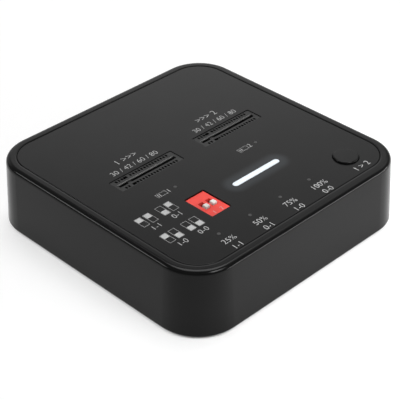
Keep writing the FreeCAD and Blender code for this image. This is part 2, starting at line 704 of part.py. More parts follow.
def switch_lever(x):
    """A lever: a head over the cap and a foot that slides inside it."""
    foot_low = SWITCH_BASE_TOP + LEVER_GAP + WIPER
    foot_high = SWITCH_TOP - SWITCH_ROOF - LEVER_GAP
    top = SWITCH_TOP + LEVER_PROUD
    head = block(LEVER_WIDTH, LEVER_LENGTH, x, LEVER_REST_Y, foot_high, top)
    head = head.makeFillet(LEVER_ROUND, level_edges(head, top))
    slider = block(LEVER_FOOT_WIDTH, LEVER_FOOT_LENGTH, x, LEVER_REST_Y, foot_low, foot_high)
    return head.fuse(slider)


def switch_wiper(x):
    """The contact strip under a lever's foot."""
    low = SWITCH_BASE_TOP + LEVER_GAP
    return block(WIPER_WIDTH, WIPER_LENGTH, x, LEVER_REST_Y, low, low + WIPER)


def start_button():
    """The button's cap, with a flange under the panel and a stem on the plunger."""
    top = PANEL_TOP + BUTTON_PROUD
    cap = turned([(0, PLUNGER_TOP), (STEM_RADIUS, PLUNGER_TOP), (STEM_RADIUS, FLANGE_LOW),
                  (FLANGE_RADIUS, FLANGE_LOW), (FLANGE_RADIUS, FLANGE_TOP), (BUTTON_RADIUS, FLANGE_TOP),
                  (BUTTON_RADIUS, top), (0, top)], BUTTON_X, BUTTON_Y)
    return cap.makeFillet(BUTTON_ROUND, level_edges(cap, top))


def push_base():
    """The push switch's base, with a round well for the dome and plunger."""
    base = rounded_block(PUSH_WIDTH, PUSH_WIDTH, PUSH_ROUND, BUTTON_X, BUTTON_Y, BOARD_TOP, PLATE_LOW)
    well = cylinder(COLLAR_RADIUS + PLUNGER_GAP, BUTTON_X, BUTTON_Y, DOME_FLOOR, PLATE_LOW)
    return base.cut([well] + push_pins(PIN_GAP, BOARD_TOP, BOARD_TOP + PUSH_PIN_DEPTH))


def push_plate():
    """The steel plate that keeps the plunger in."""
    plate = rounded_block(PUSH_WIDTH, PUSH_WIDTH, PUSH_ROUND, BUTTON_X, BUTTON_Y, PLATE_LOW, PUSH_TOP)
    return plate.cut(cylinder(PLUNGER_RADIUS + PLUNGER_GAP, BUTTON_X, BUTTON_Y, PLATE_LOW, PUSH_TOP))


def push_plunger():
    """The plunger, with a collar under the plate."""
    return turned([(0, COLLAR_LOW), (COLLAR_RADIUS, COLLAR_LOW), (COLLAR_RADIUS, COLLAR_TOP),
                   (PLUNGER_RADIUS, COLLAR_TOP), (PLUNGER_RADIUS, PLUNGER_TOP), (0, PLUNGER_TOP)],
                  BUTTON_X, BUTTON_Y)


def cap_arc(radius, height, z):
    """The arc of a shallow round cap, from its rim to its top."""
    sphere = (radius ** 2 + height ** 2) / (2 * height)
    middle = math.sqrt(sphere ** 2 - radius ** 2 / 4) - (sphere - height)
    return Part.Arc(vector(radius, 0, z), vector(radius / 2, 0, z + middle), vector(0, 0, z + height)).toShape()


def push_dome():
    """The snap dome that the plunger pushes in."""
    outer = cap_arc(DOME_RADIUS, DOME_HEIGHT, DOME_FLOOR)
    inner = cap_arc(DOME_RADIUS - DOME_THICKNESS, DOME_HEIGHT - DOME_THICKNESS, DOME_FLOOR)
    rim = Part.makeLine(vector(DOME_RADIUS - DOME_THICKNESS, 0, DOME_FLOOR), vector(DOME_RADIUS, 0, DOME_FLOOR))
    axis = Part.makeLine(vector(0, 0, DOME_FLOOR + DOME_HEIGHT),
                         vector(0, 0, DOME_FLOOR + DOME_HEIGHT - DOME_THICKNESS))
    face = Part.Face(Part.Wire(Part.__sortEdges__([rim, outer, axis, inner])))
    dome = face.revolve(vector(0, 0, 0), vector(0, 0, 1), 360)
    dome.translate(vector(BUTTON_X, BUTTON_Y, 0))
    return dome


def light_chip(x, y):
    """A light-emitting chip on the board."""
    return block(LIGHT_LENGTH, LIGHT_WIDTH, x, y, BOARD_TOP, LIGHT_TOP)


def light_pipe(x, y):
    """A stepped light pipe: its flange is under the deck and its tip is flush with the panel."""
    flange_low = DECK_LOW - PIPE_FLANGE
    return turned([(0, PIPE_LOW), (PIPE_RADIUS, PIPE_LOW), (PIPE_RADIUS, flange_low),
                   (PIPE_FLANGE_RADIUS, flange_low), (PIPE_FLANGE_RADIUS, DECK_LOW), (PIPE_RADIUS, DECK_LOW),
                   (PIPE_RADIUS, DECK_TOP), (PIPE_TIP_RADIUS, DECK_TOP), (PIPE_TIP_RADIUS, PANEL_TOP),
                   (0, PANEL_TOP)], x, y)


def light_strip():
    """The lit strip's light guide, stepped like a light pipe."""
    step = PIPE_RADIUS - PIPE_TIP_RADIUS
    flange_low = DECK_LOW - PIPE_FLANGE
    levels = [strip_block(0, DECK_TOP, PANEL_TOP), strip_block(step, PIPE_LOW, DECK_TOP)]
    flange = strip_block(PIPE_FLANGE_RADIUS - PIPE_TIP_RADIUS, flange_low, DECK_LOW)
    return levels[0].fuse([levels[1], flange]).removeSplitter()


def strip_lights():
    return group([light_chip(STRIP_X + side * STRIP_LIGHT_SPACING / 2, STRIP_Y) for side in (-1, 1)])


def usb_block(inset, front, back):
    """The receptacle's flat round-sided block, that far in from its shell's face."""
    height = USB_HEIGHT - 2 * inset
    return port_block(USB_WIDTH - 2 * inset, height, height / 2, USB_X, USB_Z, front, back)


def usb_shell():
    """The receptacle's steel shell, with legs through the board."""
    mouth = usb_mouth()
    outer = usb_block(0, mouth - USB_LENGTH, mouth)
    legs = usb_legs(0, USB_Z, BOARD_TOP + TAB_RISE)
    return outer.fuse(legs).cut(usb_block(USB_SHELL, mouth - USB_LENGTH, mouth)).removeSplitter()


def usb_insert():
    """The receptacle's moulded back and the tongue in its middle."""
    mouth = usb_mouth()
    rear = mouth - USB_LENGTH
    back = usb_block(USB_SHELL + USB_INSERT_GAP, rear, rear + USB_BACK)
    tongue = port_block(USB_TONGUE_WIDTH, USB_TONGUE, USB_TONGUE / 4, USB_X, USB_Z, rear,
                        mouth - USB_TONGUE_SETBACK)
    return back.fuse(tongue)


def usb_contacts():
    """Flat contacts on both faces of the tongue."""
    end = usb_mouth() - USB_LENGTH + USB_BACK + USB_CONTACT_LENGTH / 2
    first = USB_X - USB_CONTACT_PITCH * (USB_CONTACT_COUNT - 1) / 2
    contacts = []
    for face_low in (USB_Z + USB_TONGUE / 2, USB_Z - USB_TONGUE / 2 - USB_CONTACT):
        for i in range(USB_CONTACT_COUNT):
            contacts.append(block(USB_CONTACT_WIDTH, USB_CONTACT_LENGTH, first + USB_CONTACT_PITCH * i, end,
                                  face_low, face_low + USB_CONTACT))
    return group(contacts)


def spring_groove(gap):
    """The power jack's spring beside the bore, or with a gap the groove for it."""
    front = jack_front()
    return Part.makeBox(JACK_SPRING + 2 * gap, JACK_LENGTH, JACK_TAB_WIDTH + 2 * gap,
                        vector(jack_spring_x() - JACK_SPRING / 2 - gap, front - JACK_LENGTH,
                               JACK_Z - JACK_TAB_WIDTH / 2 - gap))


def jack_body():
    """The power jack's block and barrel, bored for the plug."""
    front = jack_front()
    rear = front - JACK_LENGTH
    mouth = case_half(JACK_Z, PORT_RECESS)
    width = 2 * (JACK_BARREL_RADIUS + JACK_SIDE)
    body = Part.makeBox(width, JACK_LENGTH, JACK_HEIGHT, vector(JACK_X - width / 2, rear, BOARD_LOW - JACK_HEIGHT))
    barrel = port_cylinder(JACK_BARREL_RADIUS, JACK_X, JACK_Z, front, mouth)
    bore = port_cylinder(JACK_BORE_RADIUS, JACK_X, JACK_Z, mouth - JACK_BORE_DEPTH, mouth)
    pin_hole = port_cylinder(JACK_PIN_RADIUS + JACK_PIN_GAP, JACK_X, JACK_Z, rear, mouth)
    return body.fuse(barrel).cut([bore, pin_hole, spring_groove(PIN_GAP)])


def jack_pin():
    """The centre pin and its solder tab behind the block."""
    rear = jack_front() - JACK_LENGTH
    tip = case_half(JACK_Z, PORT_RECESS) - JACK_PIN_DROP
    pin = port_cylinder(JACK_PIN_RADIUS, JACK_X, JACK_Z, rear, tip)
    pin = pin.makeFillet(JACK_PIN_RADIUS / 2, [e for e in pin.Edges if abs(e.BoundBox.YMin - tip) < 1e-6
                                               and e.BoundBox.XLength > JACK_PIN_RADIUS])
    tab = jack_tab(JACK_X, 0, JACK_Z - JACK_PIN_RADIUS, BOARD_TOP + TAB_RISE)
    return pin.fuse(tab)


def jack_spring():
    """The outer contact: a leaf beside the bore and its solder tab."""
    tab = jack_tab(jack_spring_x(), 0, JACK_Z - JACK_TAB_WIDTH / 2, BOARD_TOP + TAB_RISE)
    return spring_groove(0).fuse(tab)


def chip(width, x, y):
    """A flat chip under the board."""
    return rounded_block(width, width, CHIP_ROUND, x, y, BOARD_LOW - CHIP_HEIGHT, BOARD_LOW)


def power_inductors():
    coils = []
    for side in (-1, 1):
        coils.append(rounded_block(INDUCTOR_WIDTH, INDUCTOR_WIDTH, CHIP_ROUND, side * INDUCTOR_SPACING / 2,
                                   INDUCTOR_Y, BOARD_LOW - INDUCTOR_HEIGHT, BOARD_LOW))
    return group(coils)


def board_capacitors():
    first = -CAPACITOR_PITCH * (CAPACITOR_COUNT - 1) / 2
    return group([block(CAPACITOR_WIDTH, CAPACITOR_LENGTH, first + CAPACITOR_PITCH * i, CAPACITOR_Y,
                        BOARD_LOW - CAPACITOR_WIDTH, BOARD_LOW) for i in range(CAPACITOR_COUNT)])


def pieces():
    """Every piece of the dock, by name."""
    made = {
        "top_housing": top_housing(),
        "top_panel": top_panel(),
        "panel_tape": panel_tape(),
        "bottom_cover": bottom_cover(),
        "cover_screws": group([cover_screw(x, y) for x, y in CORNERS]),
        "main_board": main_board(),
        "board_screws": group([board_screw(x, y) for x, y in POSTS]),
        "slide_switch_cover": switch_cover(),
        "slide_switch_base": switch_base(),
        "slide_switch_terminals": group(switch_pins(0, BOARD_LOW - TERMINAL_REACH, SWITCH_BASE_TOP)),
        "start_button": start_button(),
        "push_switch_base": push_base(),
        "push_switch_plate": push_plate(),
        "push_switch_plunger": push_plunger(),
        "push_switch_dome": push_dome(),
        "push_switch_terminals": group(push_pins(0, BOARD_LOW - TERMINAL_REACH, BOARD_TOP + PUSH_PIN_DEPTH)),
        "light_strip": light_strip(),
        "light_strip_chips": strip_lights(),
        "usb_c_shell": usb_shell(),
        "usb_c_insert": usb_insert(),
        "usb_c_contacts": usb_contacts(),
        "power_jack_body": jack_body(),
        "power_jack_pin": jack_pin(),
        "power_jack_spring": jack_spring(),
        "control_chip": chip(CONTROL_CHIP_WIDTH, 0, CONTROL_CHIP_Y),
        "power_inductors": power_inductors(),
        "board_capacitors": board_capacitors(),
    }
    for name, (x, y) in zip(CORNER_NAMES, CORNERS):
        made["foot_" + name] = foot(x, y)
    for number, x in enumerate(SOCKET_PLACES, 1):
        made["m2_socket_%d" % number] = m2_socket(x)
        made["m2_contacts_%d" % number] = m2_contacts(x)
        made["bridge_chip_%d" % number] = chip(CHIP_WIDTH, x, CHIP_Y)
    for number, x in enumerate(LEVER_PLACES, 1):
        made["slide_lever_%d" % number] = switch_lever(x)
        made["slide_wiper_%d" % number] = switch_wiper(x)
    for number, (x, y) in enumerate(PROGRESS_PLACES, 1):
        made["progress_light_%d" % number] = light_chip(x, y)
        made["progress_light_pipe_%d" % number] = light_pipe(x, y)
    for number, (x, y) in enumerate(DRIVE_LIGHT_PLACES, 1):
        made["drive_light_%d" % number] = light_chip(x, y)
        made["drive_light_pipe_%d" % number] = light_pipe(x, y)
    return made


os.makedirs("parts", exist_ok=True)
for node, shape in pieces().items():
    shape.exportStep("parts/" + node + ".step")
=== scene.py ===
import json
import math

import bmesh
import bpy
from mathutils import Matrix, Vector

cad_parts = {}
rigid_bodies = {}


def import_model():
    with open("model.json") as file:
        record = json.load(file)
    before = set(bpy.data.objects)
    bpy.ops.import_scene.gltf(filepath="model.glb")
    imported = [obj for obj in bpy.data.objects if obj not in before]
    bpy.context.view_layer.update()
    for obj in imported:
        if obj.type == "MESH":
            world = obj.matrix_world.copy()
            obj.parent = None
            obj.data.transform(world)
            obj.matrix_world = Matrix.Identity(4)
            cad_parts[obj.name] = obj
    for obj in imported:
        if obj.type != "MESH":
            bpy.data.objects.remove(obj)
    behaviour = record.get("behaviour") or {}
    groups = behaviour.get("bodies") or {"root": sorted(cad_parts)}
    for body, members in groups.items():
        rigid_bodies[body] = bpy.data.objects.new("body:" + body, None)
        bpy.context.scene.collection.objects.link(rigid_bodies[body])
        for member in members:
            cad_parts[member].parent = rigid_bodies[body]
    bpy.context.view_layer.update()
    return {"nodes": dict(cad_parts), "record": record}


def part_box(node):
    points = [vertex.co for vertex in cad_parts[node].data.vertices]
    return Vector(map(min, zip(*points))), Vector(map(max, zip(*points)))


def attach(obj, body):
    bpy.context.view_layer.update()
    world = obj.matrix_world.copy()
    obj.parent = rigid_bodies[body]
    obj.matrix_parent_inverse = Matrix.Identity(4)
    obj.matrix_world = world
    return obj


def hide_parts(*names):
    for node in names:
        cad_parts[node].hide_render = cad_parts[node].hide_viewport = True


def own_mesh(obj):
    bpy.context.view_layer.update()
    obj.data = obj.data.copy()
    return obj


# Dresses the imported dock: a material for every piece, printed marks, a rim level with the panel, a floor,
# soft light and a camera. Sizes and places are in millimetres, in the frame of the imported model, and
# become metres through MM where a piece is made. Angles are in degrees. Azimuth 0 is towards the back (+Y)
# and 90 towards the right (+X).

MM = 0.001


def grey(level):
    return (level, level, level)


# Camera, fitted to the outline of the case: its place, where it looks, its tilt and its lens
CAMERA_PLACE = (-203.85, -206.83, 206.85)
CAMERA_AZIMUTH = 44.655
CAMERA_ELEVATION = -34.801
CAMERA_ROLL = -0.37
CAMERA_LENS = 115.37
CAMERA_NEAREST = 10             # what is nearer isn't drawn

# Surroundings
SKY = 0.24                      # brightness of the dim room
PALE_WALLS = [                  # brighter parts of it, full within the inner angle and gone at the outer
    {"azimuth": 43.5, "elevation": 22, "inner": 3.5, "outer": 22, "level": 1.03},
    {"azimuth": 77, "elevation": 47, "inner": 5, "outer": 23, "level": 1.0},
    {"azimuth": 11, "elevation": 18, "inner": 6, "outer": 24, "level": 0.45},
]
LAMPS = {
    "top_lamp": {"azimuth": 45, "elevation": 71, "distance": 1100, "width": 640, "height": 640,
                 "watts": 5.6},
    "left_lamp": {"azimuth": -57, "elevation": 27, "distance": 189, "width": 96, "height": 30,
                  "watts": 0.0065, "aim": (-41, 0, 40), "spread": 50},
    "right_lamp": {"azimuth": 137, "elevation": 3, "distance": 500, "width": 420, "height": 46,
                   "watts": 0.9},
    "front_lamp": {"azimuth": 176, "elevation": 39, "distance": 192, "width": 120, "height": 60,
                   "watts": 0.045, "aim": (18, -80, 0), "spread": 60},
}
FLOOR_SIZE = 3000
FLOOR_TONE = 0.5
FLOOR_LIFT = 0.62               # added to what the camera and reflections see of the floor
# Painted shade under the case: ambient occlusion takes the lift away where a piece is close over the floor
CLOSED_REACH = 3.0              # how near a piece over the floor takes that lift away
CLOSED_SHARES = (0.2, 0.33)     # of the open sky, where the lift starts and is full

# What the materials share
NOISE_MIDDLE = (0.3, 0.7)       # where most values of a noise lie
RELIEF_STRENGTH = 0.6
PLASTIC_IOR = 1.26
TONE_CLOUDS = 0.15              # share by which moulded plastic's tone drifts
GLOSS_CLOUDS = 0.1              # and its roughness
METAL_STAIN = 0.88              # share of bare metal's tone that its darkest stains keep
METAL_GLOSS_DRIFT = 0.07

# Moulded plastics, with the size and depth of their grain
PANEL_FINISH = {"tone": grey(0.0056), "roughness": 0.16, "grain": 0.12, "depth": 0.002}
SOCKET_FINISH = {"tone": grey(0.034), "roughness": 0.42, "grain": 0.1, "depth": 0.004}
MOULDED = {
    "case_black": {"tone": grey(0.004), "roughness": 0.16, "grain": 0.16, "depth": 0.002},
    "button_black": PANEL_FINISH,
    "cover_black": {"tone": grey(0.012), "roughness": 0.48, "grain": 0.25, "depth": 0.015},
    "tape_grey": {"tone": grey(0.12), "roughness": 0.6, "grain": 0.3, "depth": 0.01},
    "switch_red": {"tone": (0.85, 0.075, 0.06), "roughness": 0.38, "grain": 0.12, "depth": 0.004},
    "switch_base_black": {"tone": grey(0.014), "roughness": 0.45, "grain": 0.12, "depth": 0.004},
    "lever_white": {"tone": (0.78, 0.78, 0.74), "roughness": 0.4, "grain": 0.12, "depth": 0.004},
    "light_chip_white": {"tone": (0.75, 0.74, 0.68), "roughness": 0.4, "grain": 0.1, "depth": 0.003},
    "port_black": {"tone": grey(0.013), "roughness": 0.42, "grain": 0.12, "depth": 0.004},
    "chip_black": {"tone": grey(0.02), "roughness": 0.5, "grain": 0.1, "depth": 0.004},
    "inductor_grey": {"tone": grey(0.09), "roughness": 0.55, "grain": 0.1, "depth": 0.006},
    "capacitor_tan": {"tone": (0.35, 0.24, 0.13), "roughness": 0.4, "grain": 0.1, "depth": 0.003},
}

# Bare metals, with the stretch of the streaks they were drawn or rolled with
EVEN = (1, 1, 1)
ALONG_Y = (1, 0.05, 1)
ALONG_Z = (1, 1, 0.05)
TIN_FINISH = {"tone": (0.58, 0.58, 0.57), "roughness": 0.34, "streak": ALONG_Z}
METALS = {
    "screw_steel": {"tone": grey(0.50), "roughness": 0.32, "streak": EVEN},
    "contact_gold": {"tone": (0.86, 0.62, 0.26), "roughness": 0.28, "streak": ALONG_Z},
    "terminal_tin": TIN_FINISH,
    "port_steel": {"tone": (0.62, 0.62, 0.60), "roughness": 0.24, "streak": ALONG_Y},
}

# The lit strip and the glow round it
STRIP_LIGHT = (0.86, 0.94, 1.0)
STRIP_LEVEL = 0.55              # brightness of its own light in its middle
STRIP_EDGE_LEVEL = 0.12         # and along its edges
GLOW_LIGHT = (0.8, 0.9, 1.0)
GLOW_REACH = 2.6
GLOW = 0.03

# The card sockets: painted shade in their pockets and a painted highlight on the sloping mouth of their slots
POCKET_DEPTH = 0.12             # below a socket's top, where its plastic is dark with painted shade
# tone of the painted shade in the pockets
POCKET_SHADE_TONE = 0.003
MOUTH_INNER = 0.5               # the mouth's slope, from the slot's middle
MOUTH_OUTER = 0.82
MOUTH_EDGE = 0.05
MOUTH_HIGHLIGHT_TONE = 0.2                # tone of a painted highlight on the mouth's slope
LEAF_DEPTHS = (0.32, 0.5)       # below a socket's top, where painted shade darkens its contacts
# tone of the painted shade on the contacts deep in the pockets
LEAF_SHADE_TONE = 0.02

# Printed marks on the panel and on the switch
INK = 0.02                      # thickness
STROKE = 0.08
FIGURE_HEIGHT = 0.69            # of the built-in font, for a size of 1
FIGURE_THINNING = 0.011         # taken off its strokes, for a size of 1
SLOT_MARK_Y = 12.45
SLOT_MARK_HEIGHT = 2.1
SLOT_MARKS = ("1 >>>", ">>> 2")
LENGTHS = "30 / 42 / 60 / 80"   # of the cards that fit
LENGTHS_Y = 8.95
LENGTHS_HEIGHT = 1.75
DRIVE_MARK_OFFSET = -4.9        # from a drive light
DRIVE_MARK_LENGTH = 3.4
DRIVE_MARK_HEIGHT = 1.6
DRIVE_MARK_FINGERS = 2
FINGER_WIDTH = 0.2
FINGER_LENGTH = 1.0
FINGER_PITCH = 0.6
PERCENT_Y = -32.6
PERCENT_HEIGHT = 1.8
PROGRESS_CODE_Y = -35.7
PROGRESS_CODE_HEIGHT = 1.8
START_MARK = "1 > 2"
START_MARK_PLACE = (26.4, -34.8)
START_MARK_HEIGHT = 1.9
MODE_COLUMNS = (-30.6, -23.5)
MODE_ROWS = (-12.3, -21.6)
MODE_CELL = 2.0
MODE_FILL = 1.7                 # the full square in a cell
MODE_PITCH = 2.9
MODE_RAISED = [(0, 1), (1,), (0,), ()]   # the levers pushed to the back in each mode
MODE_CODE_DROP = 3.8
MODE_CODE_HEIGHT = 1.7
LEVER_NUMBER_HEIGHT = 1.2
LEVER_NUMBER_DROP = 3.0

RIM_EASE = 4                    # how soon the lowering of the rim fades down its round


def clear_scene():
    for thing in list(bpy.data.objects):
        bpy.data.objects.remove(thing)


def add(name, data):
    """A new object in the scene."""
    thing = bpy.data.objects.new(name, data)
    bpy.context.scene.collection.objects.link(thing)
    return thing


class Look:
    """A procedural material: a principled shader and the textures that drive it."""

    def __init__(self, name, tone, roughness, **sockets):
        self.material = bpy.data.materials.new(name)
        self.material.use_nodes = True
        self.tree = self.material.node_tree
        self.shader = self.tree.nodes["Principled BSDF"]
        self.shader.inputs["Base Color"].default_value = (*tone, 1.0)
        self.shader.inputs["Roughness"].default_value = roughness
        for socket, value in sockets.items():
            self.shader.inputs[socket.replace("_", " ")].default_value = value
        coordinates = self.tree.nodes.new("ShaderNodeTexCoord")
        self.place = coordinates.outputs["Object"]

    def noise(self, size, detail=3.0, stretch=EVEN):
        """Noise with features of about this size in millimetres."""
        mapping = self.tree.nodes.new("ShaderNodeMapping")
        mapping.inputs["Scale"].default_value = stretch
        self.tree.links.new(self.place, mapping.inputs["Vector"])
        texture = self.tree.nodes.new("ShaderNodeTexNoise")
        texture.inputs["Scale"].default_value = 1 / (size * MM)
        texture.inputs["Detail"].default_value = detail
        self.tree.links.new(mapping.outputs["Vector"], texture.inputs["Vector"])
        return texture.outputs["Fac"]

    def spread(self, value, low, high):
        """The middle of a noise, mapped onto a range."""
        node = self.tree.nodes.new("ShaderNodeMapRange")
        node.inputs["From Min"].default_value, node.inputs["From Max"].default_value = NOISE_MIDDLE
        node.inputs["To Min"].default_value = low
        node.inputs["To Max"].default_value = high
        self.tree.links.new(value, node.inputs["Value"])
        return node.outputs["Result"]

    def ramp(self, value, start, end, first=0.0, last=1.0):
        """A soft change from a first level to a last one, between two distances in metres."""
        node = self.tree.nodes.new("ShaderNodeMapRange")
        node.interpolation_type = "SMOOTHSTEP"
        node.inputs["From Min"].default_value = start
        node.inputs["From Max"].default_value = end
        node.inputs["To Min"].default_value = first
        node.inputs["To Max"].default_value = last
        self.tree.links.new(value, node.inputs["Value"])
        return node.outputs["Result"]

    def product(self, first, second):
        node = self.tree.nodes.new("ShaderNodeMath")
        node.operation = "MULTIPLY"
        self.tree.links.new(first, node.inputs[0])
        self.tree.links.new(second, node.inputs[1])
        return node.outputs["Value"]

    def vector(self, operation, value, other):
        """A step of arithmetic on a place."""
        node = self.tree.nodes.new("ShaderNodeVectorMath")
        node.operation = operation
        self.tree.links.new(value, node.inputs[0])
        node.inputs[1].default_value = other
        return node.outputs["Vector"]

    def length(self, offset):
        node = self.tree.nodes.new("ShaderNodeVectorMath")
        node.operation = "LENGTH"
        self.tree.links.new(offset, node.inputs[0])
        return node.outputs["Value"]

    def distance(self, bar):
        """How far a point is from a bar's middle line, seen from above, in metres."""
        offset = self.vector("SUBTRACT", self.place, bar.middle)
        offset = self.vector("MULTIPLY", offset, (1, 1, 0))
        offset = self.vector("ABSOLUTE", offset, (0, 0, 0))
        offset = self.vector("SUBTRACT", offset, (bar.half, 0, 0))
        return self.length(self.vector("MAXIMUM", offset, (0, 0, 0)))

    def away(self, middle, axis):
        """How far a point is from a middle plane, in metres."""
        offset = self.vector("SUBTRACT", self.place, middle)
        return self.length(self.vector("MULTIPLY", offset, axis))

    def tint(self, value, dark, light):
        """The base colour, between two tones."""
        node = self.tree.nodes.new("ShaderNodeMix")
        node.data_type = "RGBA"
        node.inputs["A"].default_value = (*dark, 1.0)
        node.inputs["B"].default_value = (*light, 1.0)
        self.tree.links.new(self.spread(value, 0.0, 1.0), node.inputs["Factor"])
        self.tree.links.new(node.outputs["Result"], self.shader.inputs["Base Color"])

    def cover(self, mask, tone):
        """Another tone over the tinted base colour, where a mask is 1."""
        base = self.shader.inputs["Base Color"]
        node = self.tree.nodes.new("ShaderNodeMix")
        node.data_type = "RGBA"
        self.tree.links.new(mask, node.inputs["Factor"])
        self.tree.links.new(base.links[0].from_socket, node.inputs["A"])
        node.inputs["B"].default_value = (*tone, 1.0)
        self.tree.links.new(node.outputs["Result"], base)

    def gloss(self, value, low, high):
        """The roughness, between two values."""
        self.tree.links.new(self.spread(value, low, high), self.shader.inputs["Roughness"])

    def relief(self, value, depth):
        """A bump of this depth in millimetres."""
        node = self.tree.nodes.new("ShaderNodeBump")
        node.inputs["Strength"].default_value = RELIEF_STRENGTH
        node.inputs["Distance"].default_value = depth * MM
        self.tree.links.new(value, node.inputs["Height"])
        self.tree.links.new(node.outputs["Normal"], self.shader.inputs["Normal"])

    def shine(self, strength):
        """The strength of its own light."""
        self.tree.links.new(strength, self.shader.inputs["Emission Strength"])


class Bar:
    """The round-ended outline of a long node, seen from above, in metres."""

    def __init__(self, node):
        low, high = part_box(node)
        self.middle = (low + high) / 2
        self.radius = (high.y - low.y) / 2
        self.half = (high.x - low.x) / 2 - self.radius


def shade(tone, share):
    return tuple(share * part for part in tone)


def moulded(name, tone, roughness, grain, depth):
    """Moulded plastic: fine even grain, faint clouds in tone and gloss."""
    look = Look(name, tone, roughness, IOR=PLASTIC_IOR)
    look.tint(look.noise(size=9.0), shade(tone, 1 - TONE_CLOUDS), shade(tone, 1 + TONE_CLOUDS))
    clouds = look.noise(size=14.0, detail=6.0)
    look.gloss(clouds, roughness * (1 - GLOSS_CLOUDS), roughness * (1 + GLOSS_CLOUDS))
    look.relief(look.noise(grain, detail=2.0), depth)
    return look


def metal(name, tone, roughness, streak):
    """Bare metal with faint drawn streaks."""
    look = Look(name, tone, roughness, Metallic=1.0)
    look.tint(look.noise(size=1.5), shade(tone, METAL_STAIN), tone)
    streaks = look.noise(size=0.4, detail=2.0, stretch=streak)
    look.gloss(streaks, roughness - METAL_GLOSS_DRIFT, roughness + METAL_GLOSS_DRIFT)
    look.relief(look.noise(size=0.15, detail=2.0, stretch=streak), depth=0.002)
    return look


def circuit_board():
    """Green solder mask with the weave of the laminate just showing."""
    look = Look("board_green", tone=(0.010, 0.085, 0.035), roughness=0.3)
    look.tint(look.noise(size=0.6, detail=2.0), dark=(0.008, 0.07, 0.03), light=(0.013, 0.105, 0.045))
    look.gloss(look.noise(size=3.0), low=0.25, high=0.38)
    look.relief(look.noise(size=0.4, detail=1.0), depth=0.004)
    return look


def rubber():
    """Matt rubber with a little dust in its grain."""
    look = Look("foot_rubber", tone=grey(0.018), roughness=0.75)
    look.tint(look.noise(size=0.7), dark=grey(0.012), light=grey(0.028))
    look.gloss(look.noise(size=0.5), low=0.66, high=0.86)
    look.relief(look.noise(size=0.12, detail=2.0), depth=0.01)
    return look


def light_guide():
    """Smoky clear plastic with a frosted tip."""
    look = Look("light_pipe_clear", tone=grey(0.03), roughness=0.3, Transmission_Weight=0.3)
    look.tint(look.noise(size=0.5), dark=grey(0.025), light=grey(0.04))
    look.gloss(look.noise(size=0.2), low=0.25, high=0.45)
    look.relief(look.noise(size=0.1, detail=2.0), depth=0.004)
    return look


def lit_guide(bar):
    """The lit strip: milky plastic, brightest along its middle and a little uneven along its length."""
    look = Look("light_strip_white", tone=(0.5, 0.54, 0.58), roughness=0.35,
                Emission_Color=(*STRIP_LIGHT, 1.0))
    look.gloss(look.noise(size=0.4), low=0.3, high=0.42)
    look.relief(look.noise(size=0.15, detail=2.0), depth=0.004)
    across = look.ramp(look.distance(bar), 0, bar.radius, STRIP_LEVEL, STRIP_EDGE_LEVEL)
    along = look.spread(look.noise(size=6.0, detail=1.0), low=0.9, high=1.1)
    look.shine(look.product(across, along))
    return look


def panel_plastic(bar):
    """The panel's plastic, with a faint glow round the lit strip."""
    look = moulded("panel_black", **PANEL_FINISH)
    look.shader.inputs["Emission Color"].default_value = (*GLOW_LIGHT, 1.0)
    look.shine(look.ramp(look.distance(bar), bar.radius, bar.radius + GLOW_REACH * MM, GLOW, 0.0))
    return look


def socket_plastic():
    """The plastic of both card sockets: a painted highlight on the mouth of a slot, painted shade in the
    pockets.
    """
    look = moulded("socket_black", **SOCKET_FINISH)
    low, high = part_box("m2_socket_1")
    depth = look.away(high, (0, 0, 1))
    away = look.away((low + high) / 2, (0, 1, 0))
    rows = look.ramp(away, MOUTH_OUTER * MM, (MOUTH_OUTER + MOUTH_EDGE) * MM)
    # Painted shade: the plastic darkened in the rows of pockets below the top face.
    pockets = look.product(rows, look.ramp(depth, 0.0, POCKET_DEPTH * MM))
    look.cover(pockets, grey(POCKET_SHADE_TONE))
    # Painted highlight: a pale band on the sloping mouth of the slot, broken up by noise.
    inside = look.ramp(away, MOUTH_INNER * MM, (MOUTH_INNER + MOUTH_EDGE) * MM)
    outside = look.ramp(away, (MOUTH_OUTER - MOUTH_EDGE) * MM, MOUTH_OUTER * MM, first=1.0, last=0.0)
    below = look.ramp(depth, 0.0, MOUTH_EDGE * MM)
    mouth = look.product(look.product(inside, outside), below)
    highlight_breakup = look.spread(look.noise(size=0.7), low=0.7, high=1.0)
    look.cover(look.product(mouth, highlight_breakup), grey(MOUTH_HIGHLIGHT_TONE))
    return look


def socket_contacts():
    """Tinned contacts of both card sockets, darkened by painted shade deep in their pockets."""
    look = metal("contact_tin", **TIN_FINISH)
    depth = look.away(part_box("m2_socket_1")[1], (0, 0, 1))
    start, end = LEAF_DEPTHS
    # Painted shade: the contacts darken deeper down in their pockets.
    look.cover(look.ramp(depth, start * MM, end * MM), grey(LEAF_SHADE_TONE))
    return look


def ink():
    """White print, a little uneven."""
    look = Look("print_white", tone=grey(0.5), roughness=0.55)
    look.tint(look.noise(size=0.25), dark=grey(0.42), light=grey(0.57))
    look.gloss(look.noise(size=0.3), low=0.48, high=0.62)
    look.relief(look.noise(size=0.1, detail=2.0), depth=0.003)
    return look


def looks():
    """A look for every material slot of the record."""
    strip = Bar("light_strip")
    finishes = {
        "panel_black": panel_plastic(strip),
        "foot_rubber": rubber(),
        "board_green": circuit_board(),
        "socket_black": socket_plastic(),
        "light_pipe_clear": light_guide(),
        "light_strip_white": lit_guide(strip),
    }
    for slot, settings in MOULDED.items():
        finishes[slot] = moulded(slot, **settings)
    for slot, settings in METALS.items():
        finishes[slot] = metal(slot, **settings)
    return finishes


